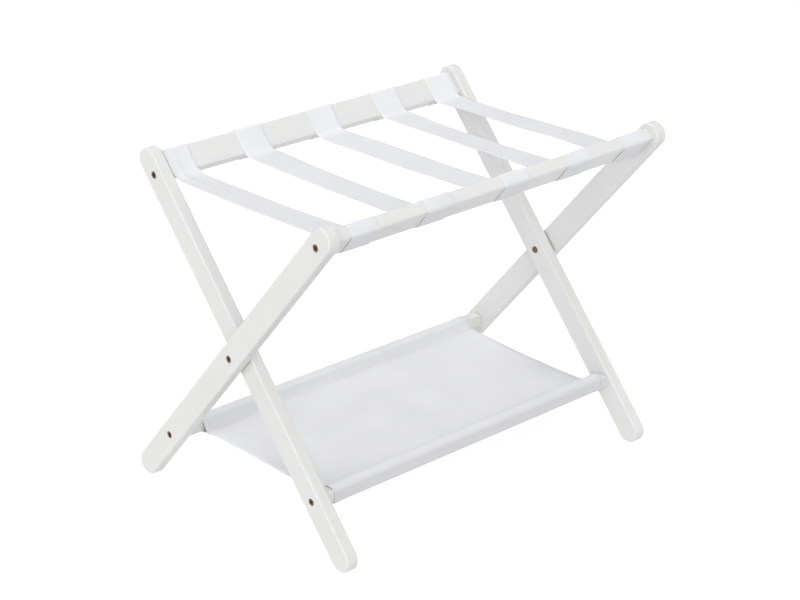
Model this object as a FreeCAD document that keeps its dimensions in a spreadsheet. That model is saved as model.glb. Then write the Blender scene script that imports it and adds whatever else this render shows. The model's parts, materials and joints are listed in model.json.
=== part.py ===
import FreeCAD, Part
import Sketcher
import math
import os

# Folding luggage bench: two wooden frames crossed on a pivot, five webbing straps between
# the top rails and a cloth shelf between the lower rails.
#
# X runs along the rails, -Y is the front, Z is up. The origin is on the floor, midway
# between the four feet. The outer frame's legs run from the rear feet up to the front top
# rail, the inner frame's legs from the front feet up to the rear top rail.
#
# Each wooden piece is drawn in its frame's own plane: the pivot axis at the origin and the
# legs along Z. The frame then leans about the pivot by the half angle.

FRONT_LEANING = 1       # the outer frame: its top leans towards -Y
REAR_LEANING = -1       # the inner frame: its top leans towards +Y
LEFT = -1
RIGHT = 1

DIMENSIONS = {
    # the crossed legs
    "overall_length": 660,      # outside to outside of the outer legs
    "half_angle": 40.75,        # each leg's lean from the vertical, degrees
    "pivot_height": 262,
    "leg_thickness": 19,
    "leg_width": 38,
    "leg_gap": 2.5,             # between an outer and an inner leg, filled by the washer
    "top_reach": 334,           # pivot to the leg's rounded top end
    "foot_reach": 342,          # pivot to the leg's rounded foot, before its floor cut
    "leg_arris": 1.5,           # planed off each long edge and the round ends
    # the rails, placed along the legs from the pivot
    "top_rail_width": 40,
    "top_rail_depth": 20,
    "top_rail_reach": 301.2,
    "lower_rail_size": 20,
    "lower_rail_reach": 232.4,
    "rail_arris": 3,
    # the screws that hold the rails
    "outer_screw_reach": 300,
    "inner_screw_reach": 291.5,
    "screw_head_radius": 5.5,
    "screw_head_height": 3,
    "screw_radius": 2.5,
    "screw_length": 50,
    "head_recess": 3.5,
    "socket_width": 5,
    "socket_depth": 2,
    "bore_clearance": 0.05,
    # the pivot
    "bolt_radius": 3,
    "barrel_radius": 4,
    "barrel_length": 17,
    "flange_radius": 5.5,
    "flange_height": 2,
    "washer_radius": 9,
    # the webbing straps
    "strap_width": 50,
    "strap_thickness": 1.8,
    "strap_place_one": -260.5,
    "strap_place_two": -127,
    "strap_place_three": 16.5,
    "strap_place_four": 146,
    "strap_place_five": 263.5,
    "span_rise": 218,           # strap's upper face above the pivot, at the span's ends
    "span_sag": 3,
    "bend_radius": 9,           # inside the bend where a strap leaves its rail's inner face
    "cloth_clearance": 0.3,
    # the staples that hold the straps under the top rails
    "staple_crown": 11,
    "staple_wire": 1,
    "staple_depth": 8,          # into the wood
    "staple_inset": 4,          # from the rail's inner face
    "staple_spacing": 24,
    # the cloth shelf
    "shelf_width": 554.5,
    "shelf_offset": 2.75,
    "shelf_thickness": 1,
    "shelf_sag": 3,
    "seam_inset": 18.7,         # from the rail's centre to the sleeve's seam, inwards
    "seam_drop": 6.9,           # of the seam below the rail's centre
}

STRAP_PLACES = ("one", "two", "three", "four", "five")

# Distances along X from the middle of the bench.
OUTER_FACE = "(dims.overall_length / 2)"
OUTER_RAIL_END = f"({OUTER_FACE} - dims.leg_thickness)"
INNER_FACE = f"({OUTER_RAIL_END} - dims.leg_gap)"
INNER_RAIL_END = f"({INNER_FACE} - dims.leg_thickness)"

HALF_ANGLE = "dims.half_angle * 1 deg"
WRAP = "(dims.cloth_clearance + dims.strap_thickness)"

doc = FreeCAD.newDocument("luggage_bench")


# ---------------------------------------------------------------- driving dimensions

def write_sheet():
    sheet = doc.addObject("Spreadsheet::Sheet", "dims")
    for row, (alias, number) in enumerate(DIMENSIONS.items(), start=1):
        sheet.set(f"A{row}", alias)
        sheet.set(f"B{row}", str(number))
        sheet.setAlias(f"B{row}", alias)
    doc.recompute()
    return sheet


dims = write_sheet()


def value(expression):
    """The number that an expression of the sheet gives."""
    result = dims.evalExpression(expression)
    return float(getattr(result, "Value", result))


# ---------------------------------------------------------------- sketches

def new_body(label):
    body = doc.addObject("PartDesign::Body", label)
    body.Label = label
    return body


def lean_with_frame(body, lean, place_x="0"):
    """Stand a body on the pivot axis, leaning with its frame."""
    axis = FreeCAD.Vector(lean, 0, 0)
    body.Placement = FreeCAD.Placement(FreeCAD.Vector(), FreeCAD.Rotation(axis, value("dims.half_angle")))
    body.setExpression("Placement.Rotation.Angle", HALF_ANGLE)
    body.setExpression("Placement.Base.x", place_x)
    body.setExpression("Placement.Base.z", "dims.pivot_height")


def new_sketch(body, name, plane="YZ_Plane", base=("0", "0", "0"), turn=0):
    """A sketch on one of the body's planes, moved by base and turned by the half angle."""
    sketch = body.newObject("Sketcher::SketchObject", f"{body.Label}_{name}")
    support = next(f for f in body.Origin.OriginFeatures if f.Role == plane)
    sketch.AttachmentSupport = (support, [""])
    sketch.MapMode = "FlatFace"
    if turn:
        axis = FreeCAD.Vector(0, 0, turn)
        rotation = FreeCAD.Rotation(axis, value("dims.half_angle"))
        sketch.AttachmentOffset = FreeCAD.Placement(FreeCAD.Vector(), rotation)
        sketch.setExpression("AttachmentOffset.Rotation.Angle", HALF_ANGLE)
    for axis_name, expression in zip("xyz", base):
        sketch.setExpression(f"AttachmentOffset.Base.{axis_name}", expression)
    return sketch


def drive(sketch, index, expression):
    """Bind a constraint to the sheet."""
    name = f"driven{index}"
    sketch.renameConstraint(index, name)
    sketch.setExpression(f"Constraints.{name}", expression)


def pin_along(sketch, edge, point, kind, expression):
    """Hold one coordinate of a point of a sketch. kind is DistanceX or DistanceY."""
    number = value(expression)
    if abs(number) < 1e-9:
        axis = -2 if kind == "DistanceX" else -1
        sketch.addConstraint(Sketcher.Constraint("PointOnObject", edge, point, axis))
    else:
        constraint = Sketcher.Constraint(kind, -1, 1, edge, point, number)
        drive(sketch, sketch.addConstraint(constraint), expression)


def pin(sketch, edge, point, x, y):
    """Hold a point of a sketch at (x, y), each an expression."""
    pin_along(sketch, edge, point, "DistanceX", x)
    pin_along(sketch, edge, point, "DistanceY", y)


def add_circle(sketch, radius, x="0", y="0"):
    centre = FreeCAD.Vector(value(x), value(y), 0)
    circle = sketch.addGeometry(Part.Circle(centre, FreeCAD.Vector(0, 0, 1), value(radius)), False)
    constraint = Sketcher.Constraint("Radius", circle, value(radius))
    drive(sketch, sketch.addConstraint(constraint), radius)
    pin(sketch, circle, 3, x, y)


def add_polygon(sketch, corners):
    """A closed outline of straight lines through corners, each a pair of expressions."""
    points = [FreeCAD.Vector(value(x), value(y), 0) for x, y in corners]
    first = sketch.GeometryCount
    count = len(points)
    for i in range(count):
        sketch.addGeometry(Part.LineSegment(points[i], points[(i + 1) % count]), False)
    for i in range(count):
        following = first + (i + 1) % count
        sketch.addConstraint(Sketcher.Constraint("Coincident", first + i, 2, following, 1))
    for i, (x, y) in enumerate(corners):
        pin(sketch, first + i, 1, x, y)


def add_rectangle(sketch, left, right, low, high):
    add_polygon(sketch, [(left, low), (right, low), (right, high), (left, high)])


def add_rounded_rectangle(sketch, width, height, radius):
    """A rectangle with rounded corners, centred on the sketch's origin."""
    half_width = value(width) / 2
    half_height = value(height) / 2
    corner = value(radius)
    arcs = []
    lines = []
    for quarter in range(4):
        right = 1 if quarter in (0, 3) else -1
        upper = 1 if quarter in (0, 1) else -1
        centre = FreeCAD.Vector(right * (half_width - corner), upper * (half_height - corner), 0)
        circle = Part.Circle(centre, FreeCAD.Vector(0, 0, 1), corner)
        start = quarter * math.pi / 2
        arcs.append(sketch.addGeometry(Part.ArcOfCircle(circle, start, start + math.pi / 2), False))
    for quarter in range(4):
        begin = sketch.getPoint(arcs[quarter], 2)
        end = sketch.getPoint(arcs[(quarter + 1) % 4], 1)
        lines.append(sketch.addGeometry(Part.LineSegment(begin, end), False))
    for quarter in range(4):
        following = arcs[(quarter + 1) % 4]
        sketch.addConstraint(Sketcher.Constraint("Tangent", arcs[quarter], 2, lines[quarter], 1))
        sketch.addConstraint(Sketcher.Constraint("Tangent", lines[quarter], 2, following, 1))
    for quarter, direction in enumerate(("Horizontal", "Vertical", "Horizontal", "Vertical")):
        sketch.addConstraint(Sketcher.Constraint(direction, lines[quarter]))
    for arc in arcs[1:]:
        sketch.addConstraint(Sketcher.Constraint("Equal", arcs[0], arc))
    sketch.addConstraint(Sketcher.Constraint("Symmetric", arcs[0], 3, arcs[2], 3, -1, 1))
    constraint = Sketcher.Constraint("Radius", arcs[0], corner)
    drive(sketch, sketch.addConstraint(constraint), radius)
    constraint = Sketcher.Constraint("DistanceX", lines[1], 1, lines[3], 1, 2 * half_width)
    drive(sketch, sketch.addConstraint(constraint), width)
    constraint = Sketcher.Constraint("DistanceY", lines[2], 1, lines[0], 1, 2 * half_height)
    drive(sketch, sketch.addConstraint(constraint), height)


def add_slot(sketch, radius, high, low):
    """An upright slot with round ends, whose end centres are at heights high and low."""
    r = value(radius)
    normal = FreeCAD.Vector(0, 0, 1)
    top = Part.Circle(FreeCAD.Vector(0, value(high), 0), normal, r)
    bottom = Part.Circle(FreeCAD.Vector(0, value(low), 0), normal, r)
    top_arc = sketch.addGeometry(Part.ArcOfCircle(top, 0, math.pi), False)
    bottom_arc = sketch.addGeometry(Part.ArcOfCircle(bottom, math.pi, 2 * math.pi), False)
    left = Part.LineSegment(sketch.getPoint(top_arc, 2), sketch.getPoint(bottom_arc, 1))
    left_line = sketch.addGeometry(left, False)
    right = Part.LineSegment(sketch.getPoint(bottom_arc, 2), sketch.getPoint(top_arc, 1))
    right_line = sketch.addGeometry(right, False)
    sketch.addConstraint(Sketcher.Constraint("Tangent", top_arc, 2, left_line, 1))
    sketch.addConstraint(Sketcher.Constraint("Tangent", left_line, 2, bottom_arc, 1))
    sketch.addConstraint(Sketcher.Constraint("Tangent", bottom_arc, 2, right_line, 1))
    sketch.addConstraint(Sketcher.Constraint("Tangent", right_line, 2, top_arc, 1))
    drive(sketch, sketch.addConstraint(Sketcher.Constraint("Radius", top_arc, r)), radius)
    pin(sketch, top_arc, 3, "0", high)
    pin(sketch, bottom_arc, 3, "0", low)


def add_sagging_band(sketch, half_span, rise, sag, thickness):
    """A band between two arcs of one centre, its upper ends at height rise."""
    radius = f"(({half_span}) ^ 2 + ({sag}) ^ 2) / (2 * {sag})"
    outer_radius = f"{radius} + {thickness}"
    centre_height = f"{rise} - {sag} + {radius}"
    normal = FreeCAD.Vector(0, 0, 1)
    centre = FreeCAD.Vector(0, value(centre_height), 0)
    arcs = []
    for expression in (radius, outer_radius):
        sweep = math.asin(value(half_span) / value(expression))
        circle = Part.Circle(centre, normal, value(expression))
        arc = Part.ArcOfCircle(circle, 1.5 * math.pi - sweep, 1.5 * math.pi + sweep)
        arcs.append(sketch.addGeometry(arc, False))
        constraint = Sketcher.Constraint("Radius", arcs[-1], value(expression))
        drive(sketch, sketch.addConstraint(constraint), expression)
    pin(sketch, arcs[0], 3, "0", centre_height)
    sketch.addConstraint(Sketcher.Constraint("Coincident", arcs[0], 3, arcs[1], 3))
    for end, side in ((1, "-"), (2, "")):
        line = Part.LineSegment(sketch.getPoint(arcs[0], end), sketch.getPoint(arcs[1], end))
        edge = sketch.addGeometry(line, False)
        sketch.addConstraint(Sketcher.Constraint("Coincident", edge, 1, arcs[0], end))
        sketch.addConstraint(Sketcher.Constraint("Coincident", edge, 2, arcs[1], end))
        sketch.addConstraint(Sketcher.Constraint("Vertical", edge))
        number = value(f"{side}({half_span})")
        constraint = Sketcher.Constraint("DistanceX", -1, 1, edge, 1, number)
        drive(sketch, sketch.addConstraint(constraint), f"{side}({half_span})")


def add_bend(sketch, x, y, side, radius, thickness):
    """A curved band about (x, y), from its lowest point up towards one side, as far as the
    half angle below the level."""
    turn = math.pi / 2 - math.radians(value("dims.half_angle"))
    low_end, high_end = (1, 2) if side == RIGHT else (2, 1)
    centre = FreeCAD.Vector(value(x), value(y), 0)
    arcs = []
    for expression in (radius, f"({radius} + {thickness})"):
        circle = Part.Circle(centre, FreeCAD.Vector(0, 0, 1), value(expression))
        start, stop = sorted((1.5 * math.pi, 1.5 * math.pi + side * turn))
        arc = sketch.addGeometry(Part.ArcOfCircle(circle, start, stop), False)
        constraint = Sketcher.Constraint("Radius", arc, value(expression))
        drive(sketch, sketch.addConstraint(constraint), expression)
        pin_along(sketch, arc, low_end, "DistanceX", x)
        pin_along(sketch, arc, high_end, "DistanceY", f"{y} - {expression} * sin({HALF_ANGLE})")
        arcs.append(arc)
    pin(sketch, arcs[0], 3, x, y)
    sketch.addConstraint(Sketcher.Constraint("Coincident", arcs[0], 3, arcs[1], 3))
    for end in (1, 2):
        line = Part.LineSegment(sketch.getPoint(arcs[0], end), sketch.getPoint(arcs[1], end))
        edge = sketch.addGeometry(line, False)
        sketch.addConstraint(Sketcher.Constraint("Coincident", edge, 1, arcs[0], end))
        sketch.addConstraint(Sketcher.Constraint("Coincident", edge, 2, arcs[1], end))


# ---------------------------------------------------------------- features

def pad(body, sketch, length):
    """Extrude a sketch by length, half to each side."""
    feature = body.newObject("PartDesign::Pad", f"{sketch.Name}_pad")
    feature.Profile = sketch
    feature.SideType = "Symmetric"
    feature.setExpression("Length", length)
    doc.recompute()
    return feature


def pocket(body, sketch, length, backwards=False, symmetric=False):
    """Cut a sketch into the body, and make sure that it takes something away."""
    before = body.Shape.Volume
    feature = body.newObject("PartDesign::Pocket", f"{sketch.Name}_pocket")
    feature.Profile = sketch
    feature.Reversed = backwards
    if symmetric:
        feature.SideType = "Symmetric"
    feature.setExpression("Length", length)
    doc.recompute()
    if not body.Shape.Volume < before - 1e-3:
        raise RuntimeError(f"{feature.Name} cuts nothing")
    return feature


def chamfer(body, base, edges, size):
    feature = body.newObject("PartDesign::Chamfer", f"{body.Label}_chamfer")
    feature.Base = (base, edges)
    feature.Size = value(size)
    feature.setExpression("Size", size)
    doc.recompute()
    return feature


def edges_at_x(shape, places):
    """Names of the edges that lie wholly in one of the planes X = place."""
    names = []
    for number, edge in enumerate(shape.Edges, start=1):
        box = edge.BoundBox
        if any(abs(box.XMin - x) < 1e-4 and abs(box.XMax - x) < 1e-4 for x in places):
            names.append(f"Edge{number}")
    return names


def mirrored_pair(label, source):
    """A node of two alike pieces, one at each end of the bench."""
    twin = doc.addObject("Part::Mirroring", f"{label}_twin")
    twin.Source = source
    twin.Normal = FreeCAD.Vector(1, 0, 0)
    pair = doc.addObject("Part::Compound", label)
    pair.Label = label
    pair.Links = [source, twin]
    return pair


# ---------------------------------------------------------------- legs

def bore(body, name, side, reach, radius, depth):
    """Drill into a leg from its outer face, at a distance along it from the pivot."""
    face = f"{side} * dims.leg_thickness / 2"
    sketch = new_sketch(body, name, base=("0", "0", face))
    add_circle(sketch, radius, y=reach)
    pocket(body, sketch, depth, backwards=side == LEFT)


def leg(label, lean, side, place_x, top_screw_reach):
    """One leg: a board with round ends, eased arrises and a foot cut level with the floor."""
    body = new_body(label)
    lean_with_frame(body, lean, f"{side} * ({place_x})")
    outline = new_sketch(body, "outline")
    high = "dims.top_reach - dims.leg_width / 2"
    low = "-(dims.foot_reach - dims.leg_width / 2)"
    add_slot(outline, "dims.leg_width / 2", high, low)
    board = pad(body, outline, "dims.leg_thickness")
    half = value("dims.leg_thickness / 2")
    chamfer(body, board, edges_at_x(board.Shape, (-half, half)), "dims.leg_arris")

    floor = new_sketch(body, "floor_cut", turn=-lean)
    add_rectangle(floor, "-dims.foot_reach", "dims.foot_reach", "-dims.foot_reach", "-dims.pivot_height")
    pocket(body, floor, "dims.leg_thickness * 2", symmetric=True)

    for name, reach in (("top", top_screw_reach), ("lower", "-dims.lower_rail_reach")):
        head = "dims.screw_head_radius + dims.bore_clearance"
        shank = "dims.screw_radius + dims.bore_clearance"
        bore(body, f"{name}_screw_hole", side, reach, shank, "dims.leg_thickness")
        bore(body, f"{name}_screw_recess", side, reach, head, "dims.head_recess")
    return body


def outer_leg(label, side):
    centre = f"{OUTER_FACE} - dims.leg_thickness / 2"
    body = leg(label, FRONT_LEANING, side, centre, "dims.outer_screw_reach")
    bore(body, "bolt_hole", side, "0", "dims.bolt_radius + dims.bore_clearance", "dims.leg_thickness")
    head = "dims.screw_head_radius + dims.bore_clearance"
    bore(body, "bolt_recess", side, "0", head, "dims.head_recess")
    return body


def inner_leg(label, side):
    centre = f"{INNER_FACE} - dims.leg_thickness / 2"
    body = leg(label, REAR_LEANING, side, centre, "dims.inner_screw_reach")
    barrel = "dims.barrel_radius + dims.bore_clearance"
    bore(body, "barrel_hole", side, "0", barrel, "dims.leg_thickness")
    return body


# ---------------------------------------------------------------- rails

def pilot_holes(body, half_length, reach):
    """A blind hole for a screw in each end of a rail."""
    depth = "dims.screw_length - (dims.leg_thickness - dims.head_recess) + dims.screw_radius"
    for name, side in (("left", LEFT), ("right", RIGHT)):
        sketch = new_sketch(body, f"{name}_pilot", base=("0", "0", f"{side} * {half_length}"))
        add_circle(sketch, "dims.screw_radius + dims.bore_clearance", y=reach)
        pocket(body, sketch, depth, backwards=side == LEFT)


def top_rail(label, lean, half_length, screw_reach):
    """A top rail: a flat board on edge, in line with its legs."""
    body = new_body(label)
    lean_with_frame(body, lean)
    section = new_sketch(body, "section", base=("0", "dims.top_rail_reach", "0"))
    add_rounded_rectangle(section, "dims.top_rail_depth", "dims.top_rail_width", "dims.rail_arris")
    pad(body, section, f"2 * {half_length}")
    pilot_holes(body, half_length, screw_reach)
    return body


def lower_rail(label, lean, half_length):
    """A lower rail: a square bar that stands upright when the bench is open."""
    body = new_body(label)
    lean_with_frame(body, lean)
    section = new_sketch(body, "section", base=("0", "-dims.lower_rail_reach", "0"), turn=-lean)
    add_rounded_rectangle(section, "dims.lower_rail_size", "dims.lower_rail_size", "dims.rail_arris")
    pad(body, section, f"2 * {half_length}")
    pilot_holes(body, half_length, "-dims.lower_rail_reach")
    return body


# ---------------------------------------------------------------- screws, bolts and washers

def turned_piece(label, profile, base):
    """A piece of revolution about a line along X, its profile running from base towards +X."""
    body = new_body(label)
    sketch = new_sketch(body, "profile", plane="XZ_Plane", base=base)
    add_polygon(sketch, profile)
    feature = body.newObject("PartDesign::Revolution", f"{label}_turning")
    feature.Profile = sketch
    feature.ReferenceAxis = (sketch, ["H_Axis"])
    feature.Angle = 360
    doc.recompute()
    return body


def hexagon_socket(body, place_x, reach, backwards):
    """A six-sided key socket in the end of a screw, bolt or nut."""
    sketch = new_sketch(body, "socket", base=("0", reach, place_x))
    corners = []
    for turn in range(0, 360, 60):
        corner = "dims.socket_width / sqrt(3)"
        corners.append((f"{corner} * cos({turn} deg)", f"{corner} * sin({turn} deg)"))
    add_polygon(sketch, corners)
    pocket(body, sketch, "dims.socket_depth", backwards=backwards)


def headed_profile(length):
    """Half the outline of a screw, from the top of its head at x = 0 down to its tip."""
    head = "-dims.screw_head_height"
    tip = f"-({length})"
    return [
        ("0", "0"),
        ("0", "dims.screw_head_radius"),
        (head, "dims.screw_head_radius"),
        (head, "dims.screw_radius"),
        (f"{tip} + 2 * dims.screw_radius", "dims.screw_radius"),
        (tip, "0"),
    ]


def rail_screws(label, lean, leg_face, reach):
    """The two screws of a rail, one through each leg."""
    seat = f"{leg_face} - dims.head_recess + dims.screw_head_height"
    screw = turned_piece(f"{label}_right", headed_profile("dims.screw_length"), (seat, reach, "0"))
    hexagon_socket(screw, seat, reach, backwards=False)
    lean_with_frame(screw, lean)
    return mirrored_pair(label, screw)


def pivot_pair(label, profile, base_x, socket=False):
    """The two alike pieces of the pivot, drawn for the right end and mirrored to the left."""
    body = turned_piece(f"{label}_right", profile, (base_x, "0", "0"))
    if socket:
        hexagon_socket(body, base_x, "0", backwards=False)
    body.setExpression("Placement.Base.z", "dims.pivot_height")
    return mirrored_pair(label, body)


def pivot_bolts(label):
    """The bolts: each runs from the outer leg through the washer into the barrel nut."""
    seat = f"{OUTER_FACE} - dims.head_recess + dims.screw_head_height"
    tip = f"-({seat} - {INNER_RAIL_END} - dims.bolt_radius)"
    profile = [
        ("0", "0"),
        ("0", "dims.screw_head_radius"),
        ("-dims.screw_head_height", "dims.screw_head_radius"),
        ("-dims.screw_head_height", "dims.bolt_radius"),
        (f"{tip} + 1", "dims.bolt_radius"),
        (tip, "dims.bolt_radius - 1"),
        (tip, "0"),
    ]
    return pivot_pair(label, profile, seat, socket=True)


def pivot_nuts(label):
    """The flanged barrel nuts: each inner leg turns on a barrel."""
    bore_radius = "dims.bolt_radius + dims.bore_clearance / 2"
    profile = [
        ("-dims.flange_height", "0"),
        ("-dims.flange_height", "dims.flange_radius - 1"),
        ("0", "dims.flange_radius"),
        ("0", "dims.barrel_radius"),
        ("dims.barrel_length", "dims.barrel_radius"),
        ("dims.barrel_length", bore_radius),
        ("dims.bolt_radius / 2", bore_radius),
        ("dims.bolt_radius / 2", "0"),
    ]
    return pivot_pair(label, profile, INNER_RAIL_END)


def pivot_washers(label):
    """The washers that keep the crossed legs apart."""
    inside = "dims.bolt_radius + dims.bore_clearance"
    profile = [
        ("0", inside),
        ("0", "dims.washer_radius"),
        ("dims.leg_gap", "dims.washer_radius"),
        ("dims.leg_gap", inside),
    ]
    return pivot_pair(label, profile, INNER_FACE)


# ---------------------------------------------------------------- straps

def rail_centre(lean):
    """A top rail's centre in the upright plane through the pivot, as two expressions."""
    across = f"({-lean} * dims.top_rail_reach * sin({HALF_ANGLE}))"
    up = f"(dims.top_rail_reach * cos({HALF_ANGLE}))"
    return across, up


def strap_bend():
    """Where a strap's bends turn, as three expressions: the centre's distance from the middle
    plane, its height, and the place along the rail's face where the bend starts."""
    away, up = rail_centre(REAR_LEANING)
    inward = f"(dims.top_rail_depth / 2 + {WRAP} + dims.bend_radius)"
    height = "(dims.span_rise + dims.bend_radius)"
    along = f"(({height} - {up} - {inward} * sin({HALF_ANGLE})) / cos({HALF_ANGLE}))"
    centre = f"({away} - {inward} * cos({HALF_ANGLE}) + {along} * sin({HALF_ANGLE}))"
    return centre, height, along


def wrap_round_rail(body, name, lean):
    """A strap's loop round a top rail, and the bend where it leaves the rail's inner face."""
    across, up = rail_centre(lean)
    base = (across, up, "0")
    turn = new_sketch(body, f"{name}_wrap", base=base, turn=lean)
    add_rounded_rectangle(
        turn,
        f"dims.top_rail_depth + 2 * {WRAP}",
        f"dims.top_rail_width + 2 * {WRAP}",
        "dims.rail_arris",
    )
    pad(body, turn, "dims.strap_width")

    centre, height, along = strap_bend()
    face = new_sketch(body, f"{name}_face", base=base, turn=lean)
    near = f"{lean} * (dims.top_rail_depth / 2 + dims.cloth_clearance)"
    far = f"{lean} * (dims.top_rail_depth / 2 + {WRAP})"
    add_rectangle(face, near, far, along, "0")
    pad(body, face, "dims.strap_width")

    bend = new_sketch(body, f"{name}_bend")
    add_bend(bend, f"{-lean} * {centre}", height, -lean, "dims.bend_radius", "dims.strap_thickness")
    pad(body, bend, "dims.strap_width")


def rail_passage(body, name, lean):
    """The way that the rail takes through the strap's turn, and the slits for the staples."""
    across, up = rail_centre(lean)
    passage = new_sketch(body, f"{name}_passage", base=(across, up, "0"), turn=lean)
    half_depth = "(dims.top_rail_depth / 2 + dims.cloth_clearance)"
    half_width = "(dims.top_rail_width / 2 + dims.cloth_clearance)"
    add_rectangle(passage, f"-{half_depth}", half_depth, f"-{half_width}", half_width)
    pocket(body, passage, "dims.strap_width * 2", symmetric=True)

    centre = f"{lean} * (dims.top_rail_depth / 2 - dims.staple_inset)"
    half_slit = "(dims.staple_wire / 2 + dims.cloth_clearance)"
    for side in (LEFT, RIGHT):
        place = f"{side} * dims.staple_spacing / 2"
        slit = new_sketch(body, f"{name}_slit_{side + 1}", base=(across, up, place), turn=lean)
        add_rectangle(
            slit,
            f"{centre} - {half_slit}",
            f"{centre} + {half_slit}",
            "-dims.top_rail_width",
            "-(dims.top_rail_width / 2 - dims.cloth_clearance)",
        )
        pocket(body, slit, "dims.staple_crown + 2 * dims.cloth_clearance", symmetric=True)


def strap(label, place):
    """A webbing strap: a slack span with a sewn loop round each top rail."""
    body = new_body(label)
    body.setExpression("Placement.Base.x", place)
    body.setExpression("Placement.Base.z", "dims.pivot_height")
    span = new_sketch(body, "span")
    half_span = strap_bend()[0]
    add_sagging_band(span, half_span, "dims.span_rise", "dims.span_sag", "dims.strap_thickness")
    pad(body, span, "dims.strap_width")
    ends = (("front", FRONT_LEANING), ("rear", REAR_LEANING))
    for name, lean in ends:
        wrap_round_rail(body, name, lean)
    for name, lean in ends:
        rail_passage(body, name, lean)
    return body


def strap_staples(label, lean):
    """The staples of one top rail, two for each strap, driven up through its loop."""
    body = new_body(label)
    lean_with_frame(body, lean)
    centre = f"{-lean} * (dims.top_rail_depth / 2 - dims.staple_inset)"
    sketch = new_sketch(body, "wires", plane="XZ_Plane", base=("0", "0", centre))
    rail_edge = "(dims.top_rail_reach - dims.top_rail_width / 2)"
    crown_low = f"{rail_edge} - {WRAP} - dims.staple_wire"
    crown_high = f"{crown_low} + dims.staple_wire"
    tip = f"{rail_edge} + dims.staple_depth"
    for place in STRAP_PLACES:
        for side in (LEFT, RIGHT):
            middle = f"dims.strap_place_{place} + {side} * dims.staple_spacing / 2"
            left = f"{middle} - dims.staple_crown / 2"
            right = f"{middle} + dims.staple_crown / 2"
            add_polygon(sketch, [
                (left, crown_low),
                (right, crown_low),
                (right, tip),
                (f"{right} - dims.staple_wire", tip),
                (f"{right} - dims.staple_wire", crown_high),
                (f"{left} + dims.staple_wire", crown_high),
                (f"{left} + dims.staple_wire", tip),
                (left, tip),
            ])
    pad(body, sketch, "dims.staple_wire")
    return body


# ---------------------------------------------------------------- shelf

def sleeve_outline(sketch, inward, grow):
    """A sleeve's section about its lower rail: round the bar, then down to the seam."""
    half = f"(dims.lower_rail_size / 2 + {grow})"
    seam = f"(dims.seam_inset + 1.5 * ({grow}))"
    outer = f"{-inward} * {half}"
    inner = f"{inward} * {half}"
    point = f"{inward} * {seam}"
    add_polygon(sketch, [
        (outer, f"-{half}"),
        (outer, half),
        (inner, half),
        (point, f"-dims.seam_drop + 0.3 * ({grow})"),
        (point, f"-dims.seam_drop - 0.5 * ({grow})"),
        (inner, f"-{half}"),
    ])


def shelf_cloth(label):
    """The cloth shelf, with a sleeve along its front and rear edge for the lower rails."""
    body = new_body(label)
    body.setExpression("Placement.Base.x", "dims.shelf_offset")
    body.setExpression("Placement.Base.z", "dims.pivot_height")
    reach = f"dims.lower_rail_reach * sin({HALF_ANGLE})"
    drop = f"-dims.lower_rail_reach * cos({HALF_ANGLE})"
    panel = new_sketch(body, "panel")
    half_span = f"({reach} - dims.seam_inset)"
    rise = f"({drop} - dims.seam_drop + dims.shelf_thickness / 2)"
    add_sagging_band(panel, half_span, rise, "dims.shelf_sag", "dims.shelf_thickness")
    pad(body, panel, "dims.shelf_width")

    sleeves = (("front", "-", 1), ("rear", "", -1))
    for name, sign, inward in sleeves:
        sleeve = new_sketch(body, f"{name}_sleeve", base=(f"{sign}({reach})", drop, "0"))
        sleeve_outline(sleeve, inward, "(dims.cloth_clearance + dims.shelf_thickness)")
        pad(body, sleeve, "dims.shelf_width")
    for name, sign, inward in sleeves:
        inside = new_sketch(body, f"{name}_inside", base=(f"{sign}({reach})", drop, "0"))
        sleeve_outline(inside, inward, "dims.cloth_clearance")
        pocket(body, inside, "dims.shelf_width * 2", symmetric=True)
    return body


# ---------------------------------------------------------------- the bench

def build():
    parts = []
    for name, side in (("left", LEFT), ("right", RIGHT)):
        parts.append(outer_leg(f"outer_leg_{name}", side))
        parts.append(inner_leg(f"inner_leg_{name}", side))
    parts.append(pivot_bolts("pivot_bolts"))
    parts.append(pivot_nuts("pivot_nuts"))
    parts.append(pivot_washers("pivot_washers"))

    parts.append(top_rail("front_top_rail", FRONT_LEANING, OUTER_RAIL_END, "dims.outer_screw_reach"))
    parts.append(top_rail("rear_top_rail", REAR_LEANING, INNER_RAIL_END, "dims.inner_screw_reach"))
    parts.append(lower_rail("rear_lower_rail", FRONT_LEANING, OUTER_RAIL_END))
    parts.append(lower_rail("front_lower_rail", REAR_LEANING, INNER_RAIL_END))

    lower = "-dims.lower_rail_reach"
    outer = "dims.outer_screw_reach"
    inner = "dims.inner_screw_reach"
    parts.append(rail_screws("front_top_rail_screws", FRONT_LEANING, OUTER_FACE, outer))
    parts.append(rail_screws("rear_top_rail_screws", REAR_LEANING, INNER_FACE, inner))
    parts.append(rail_screws("rear_lower_rail_screws", FRONT_LEANING, OUTER_FACE, lower))
    parts.append(rail_screws("front_lower_rail_screws", REAR_LEANING, INNER_FACE, lower))

    for number, place in enumerate(STRAP_PLACES, start=1):
        parts.append(strap(f"strap_{number}", f"dims.strap_place_{place}"))
    parts.append(strap_staples("front_strap_staples", FRONT_LEANING))
    parts.append(strap_staples("rear_strap_staples", REAR_LEANING))
    parts.append(shelf_cloth("shelf_cloth"))
    doc.recompute()
    return parts


def check(parts):
    """Stop if any feature failed or any piece isn't a sound solid."""
    for thing in doc.Objects:
        if {"Invalid", "Error"} & set(thing.State):
            raise RuntimeError(f"{thing.Name} is {thing.State}")
    for part in parts:
        if part.Shape.isNull() or not part.Shape.isValid() or not part.Shape.Solids:
            raise RuntimeError(f"{part.Label} has no valid solid")


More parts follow.
